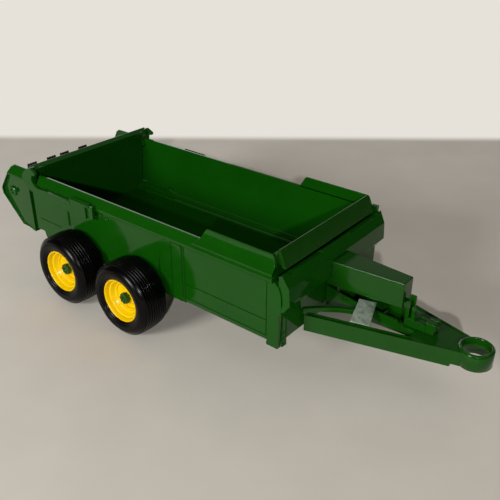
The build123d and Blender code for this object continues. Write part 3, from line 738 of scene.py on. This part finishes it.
class BuildBeater(bpy.types.Operator):
    """Build the beater's tube and its rows of toothed paddles"""

    bl_idname = "spreader.beater"
    bl_label = "Beater"

    def execute(self, context):
        teeth = context.scene.spreader_sizes.paddle_teeth
        low, high = span("beater_drum")
        centre, radius, half = (low + high) / 2, (high.z - low.z) / 2 - 0.8, high.y
        tube = ((2.6, -half), (4.4, -half), (5, -half + 0.6), (5, half - 0.6), (4.4, half), (2.6, half))
        shapes = [turned("y", tube, centre, 32)]
        blade_half, blade_foot = 5, 3.5
        pitch = 2 * blade_half / (teeth - 0.4)
        outline = [(-blade_half, blade_foot)]
        for k in range(teeth):
            outline += about(-blade_half + k * pitch, radius, (
                (0, -2.4), (0.06 * pitch, 0), (0.68 * pitch, 0), (0.76 * pitch, -2.4)))
        outline.append((blade_half, blade_foot))
        # The middle of each row along the shaft, and the angle of its first paddle.
        rows = ((-57, 20), (-45.5, 90), (-34, 45), (-22.5, 90), (-6.3, 90), (5.4, 45), (17.1, 90), (28.8, 20),
                (40.5, 45), (55, 45))
        for y, angle in rows:
            for turn in (angle, angle + 180):
                paddle = prism("y", outline, -1.2, 1.2)
                for vert in paddle.verts:
                    # The blade stands across the shaft's turn and thins towards its tip.
                    out = vert.co.z
                    vert.co = (vert.co.y * (1 - 0.45 * (out - blade_foot) / radius), vert.co.x, out)
                paddle = merged(paddle, turned("y", ((4.6, -5.4), (6.2, -5), (6.2, 5), (4.6, 5.4)), (0, 0, 0), 24))
                paddle.transform(Matrix.Rotation(math.radians(90 - turn), 4, "Y"))
                paddle.transform(Matrix.Translation((centre.x, y, centre.z)))
                shapes.append(paddle)
        place("beater_paddles", merged(*shapes), finish(black_nylon), "beater", "black_plastic", "beater_drum",
              edge=0.15 * MM, angle=30)
        finish_node("beater_shaft", finish(zinc_plate), 0.2 * MM)
        return {"FINISHED"}


class BuildGate(bpy.types.Operator):
    """Build the lifting rear gate with its hooks, arms and pivots"""

    bl_idname = "spreader.gate"
    bl_label = "Rear gate"

    def execute(self, context):
        low, high = span("gate_panel")
        half, whole_half = span("push_panel")[1].y + 0.6, high.y
        foot, top, inner_top = low.z, high.z, high.x
        reach = (low.x - 2, high.x + 2)
        inner_foot = inner_top - 5.4

        def on(z, proud, rise=0):
            """A point off the gate's sloping inner face at z: proud of it towards the load, and raised."""
            return inner_foot + (inner_top - inner_foot) * (z - foot) / (top - foot) + proud, z + rise

        def relief(side):
            """The room for the side wall under the lip's end."""
            return slab(side, reach, (half + 0.6, whole_half + 1), (top - 9, top - 4.5))

        hands = SIDES.values()
        plate = (on(foot - 0.75, 0), on(top, 0, -2.2), on(top, -2.4, -1.2), on(foot - 0.75, -2.4))
        lip = (on(top - 8.4, -2.4), on(top - 7, 0.6), on(top, 0.6, -2.4), on(top, -0.4, -1.9), on(top, -4),
               on(top, -4.4), on(top, -4.4, -2))
        bead = (on(top - 9, -1), on(top - 8.6, 0.7), on(top - 7.6, 0.7), on(top - 7.2, -1))
        end = (on(foot + 1, -1), on(foot + 1, 0.8), on(top - 2, 0.8), on(top - 2, -1))
        strut = (on(foot + 3, -1), on(foot + 3, -3.3, 1), on(top - 9, -3.3), on(top - 9, -1, 1))
        # Thicker blocks at the ends of the top edge, where the hooks join it.
        thick = (on(top - 8.4, -3, -0.2), on(top - 8.4, 1.4, -0.2), on(top, 1.4, -2.6), on(top, -4), on(top, -4.4))
        gate = joined(
            prism("y", plate, -half, half),
            cut(prism("y", lip, -whole_half, whole_half), *[relief(side) for side in hands]),
            prism("y", bead, -half, half),
            *[across(side, end, half - 2.6, half) for side in hands],
            *[cut(across(side, thick, half - 6, whole_half), relief(side)) for side in hands],
            *[prism("y", (on(z, -1), on(z, -3.5, 0.4), on(z + 2.2, -3.5, -0.4), on(z + 2.2, -1)),
                    -half + 3, half - 3) for z in (foot + 9, foot + 31)],
            *[prism("y", strut, y - 1, y + 1) for y in (-half / 2, 0, half / 2)])
        corner = about(half, foot, ((-9.6, 0), (0.8, 6.6), (0.8, -1), (-9.6, -1)))
        gate = cut(gate, *[along(side, corner, *reach) for side in hands])
        cast("gate_casting", gate, "gate_panel", body="gate")

        for name, side in SIDES.items():
            low, high, inner, outer = side_span(f"gate_arm_{name}", side)
            rear, front, foot, top = low.x, high.x, low.z, high.z
            # The hook bends round behind the rail's end and runs into the arm.
            hook = rounded(about(rear, top, (
                (13.4, 0), (7, -3.4), (0.6, -9.4), (0, -13.2), (2.4, -15.6), (6.6, -21.6), (11, -23.4),
                (17.4, -24), (34, -21), (34, -17.4), (26.6, -17.4), (21.4, -13.8), (19, -8.4), (22, -5),
                (21, -3.4))), 1.6, 3)
            inset = rounded(about(rear, top, (
                (17.4, -6.4), (15.4, -8.4), (14.6, -12.4), (17.6, -16.6), (22.6, -18.4), (36, -17.6), (36, -6),
                (26, -6.4))), 1.2, 3)
            heel = combined("INTERSECT", across(side, hook, inner - 3.2, inner), slab(
                side, (rear + 3.8, rear + 15.2), (inner - 4, inner + 1), (top - 26, top + 1)))
            ring = joined(across(side, hook, inner - 0.2, outer), heel)
            bar = (*about(rear, foot, ((17, 4.8), (28, 0))), *about(front, foot, ((-12, 0), (-12, 14))),
                   *about(rear, foot, ((70, 14), (69.4, 11.8), (24, 10.4))))
            stub = about(front, foot, ((-12.5, 1), (-5, 1), (-5, 13.6), (-12.5, 13.6)))
            tab = about(front, foot, ((-5.8, 1.6), (-1.8, 2.4), (-1.4, 14.2), (-5.4, 14.2)))
            shelf = ((inner + 0.3, foot + 9), (outer + 0.4, foot + 8.8), (outer + 0.4, foot + 11.2),
                     (inner + 0.3, foot + 11.6))
            # The left arm's raised part stands a little higher.
            lift = 3 if name == "left" else 0
            step = ((inner + 0.1, foot + 12.6), *about(outer, foot, (
                (0.5, 12), (0.5, 13.8 + lift), (-0.2, 14.3 + lift))), (inner + 0.1, foot + 15.4 + lift))
            arm = joined(
                cut(ring, across(side, inset, inner - 4, outer + 1)),
                across(side, bar, inner, outer), across(side, stub, inner, inner + 0.9),
                across(side, tab, inner, outer + 0.5), along(side, shelf, rear + 30, rear + 69.6),
                along(side, step, rear + 70, front - 6.8))
            cast(f"gate_arm_casting_{name}", arm, f"gate_arm_{name}", body="gate", share=0.6)

            low, high, inner, outer = side_span(f"gate_pivot_{name}", side)
            centre, long = (low + high) / 2, outer - inner - 3.7
            pin = knob(side, ((0.01, 0), (2.3, 0), (2.3, long), (0.01, long)), centre.x, inner, centre.z, 32)
            cast(f"gate_pivot_pin_{name}", pin, f"gate_pivot_{name}", share=0, angle=28)
        return {"FINISHED"}


# ---------------------------------------------------------------- running gear
class BuildRunningGear(bpy.types.Operator):
    """Build the bogie beams and finish the axles"""

    bl_idname = "spreader.running_gear"
    bl_label = "Running gear"

    def execute(self, context):
        for name, side in SIDES.items():
            low, high, inner, outer = side_span(f"bogie_beam_{name}", side)
            bar_half = 4.5
            z, middle = low.z + bar_half, (low.x + high.x) / 2
            foot, top = z - bar_half, z + bar_half
            bar = rounded(((low.x, foot), (high.x, foot), (high.x, top), (low.x, top)), bar_half, 6)
            hanger = ((middle - 12, high.z), (middle + 12, high.z), (middle + 7, z), (middle - 7, z))
            pockets = [across(side, rounded(about(middle, z, ((a, -2.2), (b, -2.2), (b, 2.2), (a, 2.2))), 2),
                              outer - 1.4, outer + 1) for a, b in ((-32, -8), (8, 32))]
            beam = joined(*[across(side, outline, inner, outer) for outline in (bar, hanger)])
            cast(f"bogie_casting_{name}", cut(beam, *pockets), f"bogie_beam_{name}", share=1)
        for end in ENDS:
            finish_node(f"axle_{end}", finish(zinc_plate), 0.2 * MM)
        return {"FINISHED"}


def tyre_section(radius, half_width, bore, ribs, depth):
    """The tyre's closed section of (radius, height): beads, ringed side walls and a ribbed tread."""
    wall = about(bore, half_width, (
        (0, -2.4), (0.5, -1.4), (1.5, -0.9), (2.4, -0.75), (2.6, -0.4), (3.4, -0.1), (5.6, 0), (6.6, -0.05),
        (6.8, -0.4), (7.2, -0.4), (7.4, -0.15), (8.6, -0.5), (9.8, -1.2), (10.9, -2.2), (11.8, -3.3)))
    crown = half_width - 3.4
    pitch = 2 * crown / ribs
    # One groove and one rib: the share of the pitch, and the share of the groove's depth.
    rib = ((0, 1), (0.22, 1), (0.3, 0.12), (0.4, 0), (0.84, 0), (0.93, 0.12))
    tread = [(crown - k * pitch - share * pitch, sunk) for k in range(ribs) for share, sunk in rib] + [(-crown, 1)]
    fall = 0.0075  # how fast the tread's round top drops towards the shoulders
    tread = [(radius - fall * y * y - sunk * depth, y) for y, sunk in tread]
    return wall + tread + [(r, -y) for r, y in reversed(wall)]


class BuildTyres(bpy.types.Operator):
    """Build the four ribbed tyres"""

    bl_idname = "spreader.tyres"
    bl_label = "Tyres"

    def execute(self, context):
        sizes = context.scene.spreader_sizes
        for wheel, _ in WHEELS:
            low, high = span(f"tyre_{wheel}")
            centre = (low + high) / 2
            bore = span(f"rim_{wheel}")[1].x - centre.x
            section = tyre_section(
                (high.z - low.z) / 2, (high.y - low.y) / 2, bore, sizes.tread_ribs, sizes.tread_depth / MM)
            place(f"tyre_moulding_{wheel}", turned("y", section, centre, 112), finish(tyre_rubber),
                  f"wheel_{wheel}", "black_rubber", f"tyre_{wheel}", angle=50)
        return {"FINISHED"}


WEB = (16, 17)  # the two points of the rim's section between which its web lies


def web_dent(angle, index):
    """Two curved recesses sunk into the rim's web."""
    if index not in WEB:
        return 0
    turn = abs((angle % math.pi) - math.pi / 2)
    return 2.4 * min(1, max(0, (math.radians(52) - turn) / math.radians(6)))


class BuildRims(bpy.types.Operator):
    """Build the stepped rims and the notched hub caps"""

    bl_idname = "spreader.rims"
    bl_label = "Rims and hub caps"

    def execute(self, context):
        for wheel, side in WHEELS:
            low, high = span(f"rim_{wheel}")
            centre, lip, out = (low + high) / 2, (high.x - low.x) / 2, (high.y - low.y) / 2
            section = (
                (lip, -out), *about(lip, out, (
                    (0, -0.5), (-0.3, -0.1), (-0.8, 0), (-1.3, -0.3), (-1.7, -1.2), (-2.4, -3.6), (-3, -4),
                    (-3.7, -4.1), (-4.2, -4.7), (-5.2, -7.6), (-5.8, -8), (-6.4, -8.1), (-6.9, -8.8),
                    (-7.2, -9.4), (-7.5, -9.5), (-7.8, -9.5))),
                *about(0, out, ((8, -9.5), (7.7, -9.5), (7.2, -9.3), (6.8, -8.6), (2.2, -8.6))),
                (2.2, -out), (5.5, -out), (5.5, out - 13), (lip - 6.5, out - 13), (lip - 4, -out))
            rim = turned("y", section, (0, 0, 0), 96, web_dent)
            sign = Matrix.Identity(4) if side > 0 else Matrix.Scale(-1, 4, (0, 1, 0))
            rim.transform(Matrix.Translation(centre) @ sign)
            place(f"rim_moulding_{wheel}", rim, finish(yellow_abs), f"wheel_{wheel}", "yellow_plastic",
                  f"rim_{wheel}", angle=40)

            low, high, inner, outer = side_span(f"hub_cap_{wheel}", side)
            radius, face = (high.x - low.x) / 2, outer + 1.8
            lobes = []
            for a in (math.tau * i / 64 for i in range(64)):
                reach = radius - 0.8 + 0.35 * math.cos(8 * a)
                lobes.append((reach * math.cos(a) + centre.x, reach * math.sin(a) + centre.z))
            bore = across(side, circle((centre.x, centre.z), 2.4, 24), face - 1.2, face + 1)
            mould(f"hub_cap_moulding_{wheel}", cut(across(side, lobes, inner, face), bore), f"hub_cap_{wheel}",
                  body=f"wheel_{wheel}", angle=30)
        return {"FINISHED"}


# ---------------------------------------------------------------- tongue
class BuildTongue(bpy.types.Operator):
    """Build the tongue's beams, middle channel, head and hitch ring"""

    bl_idname = "spreader.tongue"
    bl_label = "Tongue"

    def execute(self, context):
        low, high = span("tongue_head")
        foot, top, head_half, head_rear = low.z, high.z, high.y, low.x
        low, high = span("tongue_beam_left")
        rear, rear_half = low.x, high.y
        ring_low, ring_high = span("hitch_ring")
        ring, radius, bore = (ring_low + ring_high) / 2, (ring_high.x - ring_low.x) / 2, 10.2
        taper = (rear_half - head_half) / (head_rear - rear)

        def half(x, inset=0):
            """Half of the tongue's width at x, less an inset."""
            return rear_half - taper * (x - rear) - inset

        def tapered(start, start_half, end, end_half, low, high):
            """A block across the whole tongue that narrows from one width to another."""
            return prism("z", symmetric(((start, start_half), (end, end_half))), low, high)

        def strip(side, a, b, start, end, low, high):
            """A strip of one beam between two insets from its outer face."""
            plan = ((start, half(start, a)), (end, half(end, a)), (end, half(end, b)), (start, half(start, b)))
            return upward(side, plan, low, high)

        tip, hands = ring.x - 6, SIDES.values()
        tools = [
            tapered(rear - 1, half(rear - 1, 5.4), head_rear, half(head_rear, 5.4), foot - 1, top + 1),
            prism("z", circle((ring.x, ring.y), radius - 0.3, 72), foot - 1, top + 5),
            block((ring.x - 13, ring.x + 20), (-30, 30), (foot - 1, ring_low.z)),
            # A bead runs along each top edge, and the beams are hollow underneath.
            tapered(rear - 1, half(rear, 1.2), ring.x - 14.5, half(ring.x - 14.5, 1.2), top - 0.8, top + 1),
            *[strip(side, 1.6, 3.8, rear + 2, head_rear, foot - 1, foot + 9) for side in hands],
        ]
        tongue = cut(tapered(rear - 0.01, half(rear), tip, half(tip), foot, top), *tools)
        beads = [strip(side, 4.4, 5.4, rear, head_rear, top - 1, top - 0.1) for side in hands]
        mould("tongue_moulding", merged(tongue, *beads), "tongue_beam_left", "tongue_beam_right", "tongue_head",
              share=0.7)

        low, high = ring_low.z - ring.z, ring_high.z - ring.z
        section = (
            (bore, low + 0.5), (bore + 0.5, low), (radius - 0.6, low), (radius, low + 0.6), *about(radius, high, (
                (0, -1), (-0.5, -0.5), (-0.9, -0.35), (-1.2, 0))), (bore + 0.5, high), (bore, high - 0.5))
        mould("hitch_ring_moulding", turned("z", section, ring, 96), "hitch_ring", share=0, angle=50)

        low, high = span("tongue_rib")
        rear, front, rib_half, front_half = low.x, high.x, high.y, high.y - 2.5
        side_view = (*about(rear, top, (
            (0, 11.6), (3, 11.2), (16, 8), (27, 6.1), (44, 4.8), (60.5, 3.9), (62.4, 1.6), (63.5, 0.6))),
            (front, top), (front, top - 6), (rear, top - 6))
        channel = cut(
            combined("INTERSECT", prism("y", side_view, -rib_half, rib_half),
                     tapered(rear, rib_half, front, front_half, top - 6, top + 20)),
            tapered(rear, rib_half - 1.6, front - 13, front_half - 1.6, top - 4.4, top + 20),
            prism("z", circle((front - 10.5, -0.6), 4.4, 32), top - 5, top + 20))
        screw = ((0.01, 0), (3, 0), (3, 1.2), (2.2, 2), (0.01, 2))
        screws = [turned("z", screw, (rear + x, 0, top - 4.6), 24) for x in (6, 34)]
        bridges = [block((rear + x, rear + x + 1.4), (-rib_half + 1, rib_half - 1), (top - 5, top + 1))
                   for x in (24, 46)]
        mould("tongue_channel_moulding", merged(joined(channel, *bridges), *screws), "tongue_rib", share=0.6)
        return {"FINISHED"}


class BuildCover(bpy.types.Operator):
    """Build the cylinder cover and the small pieces round it"""

    bl_idname = "spreader.cover"
    bl_label = "Cover and drawbar pieces"

    def execute(self, context):
        low, high = span("cylinder_cover")
        rear, front, half, front_half, cover_foot = low.x, high.x, high.y, high.y - 5, low.z
        shell = prism("z", symmetric(((rear, half), (front, front_half))), cover_foot, high.z)
        hollow = prism("z", symmetric(((rear + 1.5, half - 1.6), (front - 1.6, front_half - 1.5))),
                       cover_foot - 1, high.z - 1.8)
        mould("cover_moulding", cut(shell, hollow), "cylinder_cover", share=1.6)

        low, high = end_low, end_high = span("channel_end_block")
        outline = ((low.x, low.z), (high.x, low.z), (high.x, high.z - 0.6), (high.x - 0.8, high.z),
                   (low.x, high.z))
        flute = block((low.x + 9, high.x - 1.2), (low.y + 1.4, high.y - 1.4), (high.z - 1.2, high.z + 1))
        mould("end_block_moulding", cut(prism("y", rounded(outline, 0.6), low.y, high.y), flute),
              "channel_end_block", share=0.8)

        low, high = span("drawbar_stop")
        hook = ((low.x, low.z), *about(high.x, low.z, ((-1.6, 0), (-1, 1.6), (-2, 3.6), (-0.2, 5.2))),
                (high.x, high.z - 1), (high.x - 1, high.z), (low.x, high.z))
        stop = joined(prism("y", hook, low.y, low.y + 6), prism("y", hook, low.y + 6.6, high.y),
                      block((low.x, low.x + 3), (low.y, high.y), (low.z, high.z - 1.2)))
        mould("drawbar_stop_moulding", stop, "drawbar_stop", share=0.8)

        low, high = span("cover_bracket")
        rear, half = end_low.x, end_high.y
        base = low.z if low.z > end_low.z + 4 else end_high.z
        shapes = [block((rear, rear + 8), (-half, 2), (base, base + 1.2)),
                  block((low.x, rear + 1), (-half, 1.8), (cover_foot + 1, cover_foot + 5))]
        # Upright plates: right face, thickness, rear end, length, height.
        for y, thick, x, long, tall in ((-half, 1.8, 0, 3, 15), (-half + 1, 1.6, 4.4, 3, 11.4),
                                        (0, 1.8, 0, 5, 17.6)):
            outline = rounded(about(rear, base, ((x, 0), (x + long, 0), (x + long, tall), (x, tall))), 1.2)
            shapes.append(prism("y", outline, y, y + thick))
        mould("cover_bracket_moulding", joined(*shapes), "cover_bracket", share=0.7)

        finish_node("stay_plate", finish(galvanised_steel), 0.2 * MM)

        low, high = span("feed_pipe")
        bend = [Vector(point) for point in (*about(low.x, low.y, ((0, 2), (10.6, 17.6), (24, 26))),
                                            (low.x + 41, high.y - 0.6))]
        weights = ((1 - i / 24, i / 24) for i in range(25))
        path = []
        for s, t in weights:
            middle = s ** 3 * bend[0] + 3 * t * s ** 2 * bend[1] + 3 * t * t * s * bend[2] + t ** 3 * bend[3]
            path.append((middle.x, middle.y, high.z - 1.9 - 0.09 * (middle.x - low.x)))
        mould("feed_pipe_moulding", swept(path, 2, 1.9), "feed_pipe", angle=30)
        return {"FINISHED"}


# ---------------------------------------------------------------- stage
def towards(tree, vector, direction):
    """How far a vector reaches in a direction."""
    settings = {"operation": "DOT_PRODUCT", 1: direction}
    return add(tree, "ShaderNodeVectorMath", settings, {0: vector}).outputs["Value"]


def maths(tree, operation, *values):
    """One step of arithmetic on outputs."""
    return add(tree, "ShaderNodeMath", {"operation": operation}, dict(enumerate(values))).outputs[0]


def fade(tree, value, start, end, most=1.0):
    """A smooth change from nothing, where a value is at the start, to most at the end."""
    limits = {"interpolation_type": "SMOOTHSTEP", "From Min": start, "From Max": end, "To Max": most}
    return add(tree, "ShaderNodeMapRange", limits, {"Value": value}).outputs["Result"]


def table_top(colours):
    """Painted table top: matt and pale, with a fine grain. Behind the object it gives way to a paler wall."""
    material, tree, at = new_material("Painted table top, matt")
    grain = bumped(tree, texture(tree, at, "Noise", 1.5, Detail=3.0)["Fac"], 0.05, 0.05)
    paint = principled(tree, {"IOR": 1.45, "Specular IOR Level": 0.3, "Roughness": 0.7},
                       tinted(tree, at, colours.floor, 60.0, 0.03), grain)
    wall = maths(tree, "MULTIPLY", fade(tree, towards(tree, at, BEHIND), 0.43, 0.46),
                 fade(tree, maths(tree, "ABSOLUTE", towards(tree, at, BESIDE)), 1.5, 0.9))
    ray = add(tree, "ShaderNodeLightPath").outputs
    seen = maths(tree, "MAXIMUM", maths(tree, "MAXIMUM", ray["Is Camera Ray"], ray["Is Glossy Ray"]),
                 ray["Is Transmission Ray"])
    glow = add(tree, "ShaderNodeEmission", {"Color": linear(colours.backdrop)}).outputs[0]
    mixed = add(tree, "ShaderNodeMixShader", links={0: maths(tree, "MULTIPLY", seen, wall), 1: paint, 2: glow})
    output(tree, mixed.outputs[0])
    return material


def room_light(stage, colours):
    """A dim room with a pale wall behind the object and a soft light panel overhead."""
    world = bpy.data.worlds.new("Pale studio")
    world.use_nodes = True
    tree = world.node_tree
    tree.nodes.clear()
    direction = add(tree, "ShaderNodeTexCoord").outputs["Generated"]
    height = add(tree, "ShaderNodeSeparateXYZ", links={"Vector": direction}).outputs["Z"]
    wall = maths(tree, "MULTIPLY", fade(tree, towards(tree, direction, BEHIND), 0.35, 0.75),
                 fade(tree, height, 0.75, 0.05))
    pale = maths(tree, "MAXIMUM", wall, fade(tree, height, 0.6, 0.9, 0.3))
    shades = {"data_type": "RGBA", 6: linear(colours.room), 7: linear(colours.backdrop)}
    tone = add(tree, "ShaderNodeMix", shades, {0: pale}).outputs[2]
    light = add(tree, "ShaderNodeBackground", {"Strength": stage.sky_strength}, {"Color": tone})
    add(tree, "ShaderNodeOutputWorld", links={"Surface": light.outputs[0]})
    return world


class BuildStage(bpy.types.Operator):
    """Build the pale floor, the soft light and the camera"""

    bl_idname = "spreader.stage"
    bl_label = "Stage"

    def execute(self, context):
        scene = context.scene
        stage, colours = scene.spreader_stage, scene.spreader_colours
        bm = bmesh.new()
        bmesh.ops.create_circle(bm, cap_ends=True, segments=96, radius=stage.floor_radius)
        floor = shown("floor", mesh_of(bm, "floor"))
        floor.data.materials.append(finish(table_top))
        scene.world = room_light(stage, colours)

        # Each lamp: name, diameter, power, and its bearing and height seen from the object, in degrees.
        lamps = (("flash", 0.06, stage.flash_power, 38.0, 25.0), ("key", 0.7, stage.key_power, -8.0, 22.0),
                 ("window", 1.2, stage.window_power, -123.0, 24.0))
        distance = 2.2
        for name, size, watts, bearing, rise in lamps:
            lamp = bpy.data.lights.new(name, "AREA")
            lamp.shape, lamp.size, lamp.energy = "DISK", size, watts
            bearing, rise = math.radians(bearing), math.radians(rise)
            holder = shown(name, lamp)
            holder.location = distance * Vector((
                math.sin(bearing) * math.cos(rise), -math.cos(bearing) * math.cos(rise), math.sin(rise)))
            holder.rotation_euler = holder.location.to_track_quat("Z", "Y").to_euler()

        data = bpy.data.cameras.new("camera")
        data.lens, data.sensor_width = stage.lens, 36.0
        data.clip_start, data.clip_end = 0.01, 50.0
        camera = shown("camera", data)
        camera.location = stage.camera_at
        look = (Vector(stage.camera_aim) - Vector(stage.camera_at)).to_track_quat("-Z", "Y").to_matrix()
        camera.rotation_euler = (look @ Matrix.Rotation(stage.camera_roll, 3, "Z")).to_euler()
        scene.camera = camera
        scene.view_settings.view_transform = "Standard"
        return {"FINISHED"}


# ---------------------------------------------------------------- add-on
BUILDERS = (
    BuildFloor, BuildWalls, BuildRails, BuildFrontWall, BuildPushPanel, BuildBeaterPlates, BuildBeater, BuildGate,
    BuildRunningGear, BuildTyres, BuildRims, BuildTongue, BuildCover, BuildStage,
)


class SpreaderPanel(bpy.types.Panel):
    """Lists the spreader's builders"""

    bl_idname = "VIEW3D_PT_spreader"
    bl_label = "Toy Manure Spreader"
    bl_space_type = "VIEW_3D"
    bl_region_type = "UI"
    bl_category = "Spreader"

    def draw(self, context):
        for builder in BUILDERS:
            self.layout.operator(builder.bl_idname)
        for group in (context.scene.spreader_sizes, context.scene.spreader_colours, context.scene.spreader_stage):
            column = self.layout.column()
            for name in group.__annotations__:
                column.prop(group, name)


CLASSES = (SpreaderSizes, SpreaderColours, SpreaderStage, *BUILDERS, SpreaderPanel)


def register():
    for cls in CLASSES:
        bpy.utils.register_class(cls)
    bpy.types.Scene.spreader_sizes = PointerProperty(type=SpreaderSizes)
    bpy.types.Scene.spreader_colours = PointerProperty(type=SpreaderColours)
    bpy.types.Scene.spreader_stage = PointerProperty(type=SpreaderStage)


def unregister():
    del bpy.types.Scene.spreader_stage
    del bpy.types.Scene.spreader_colours
    del bpy.types.Scene.spreader_sizes
    for cls in reversed(CLASSES):
        bpy.utils.unregister_class(cls)


def main():
    register()
    for builder in BUILDERS:
        group, name = builder.bl_idname.split(".")
        getattr(getattr(bpy.ops, group), name)()
    bpy.context.view_layer.update()


if __name__ == "__main__":
    main()
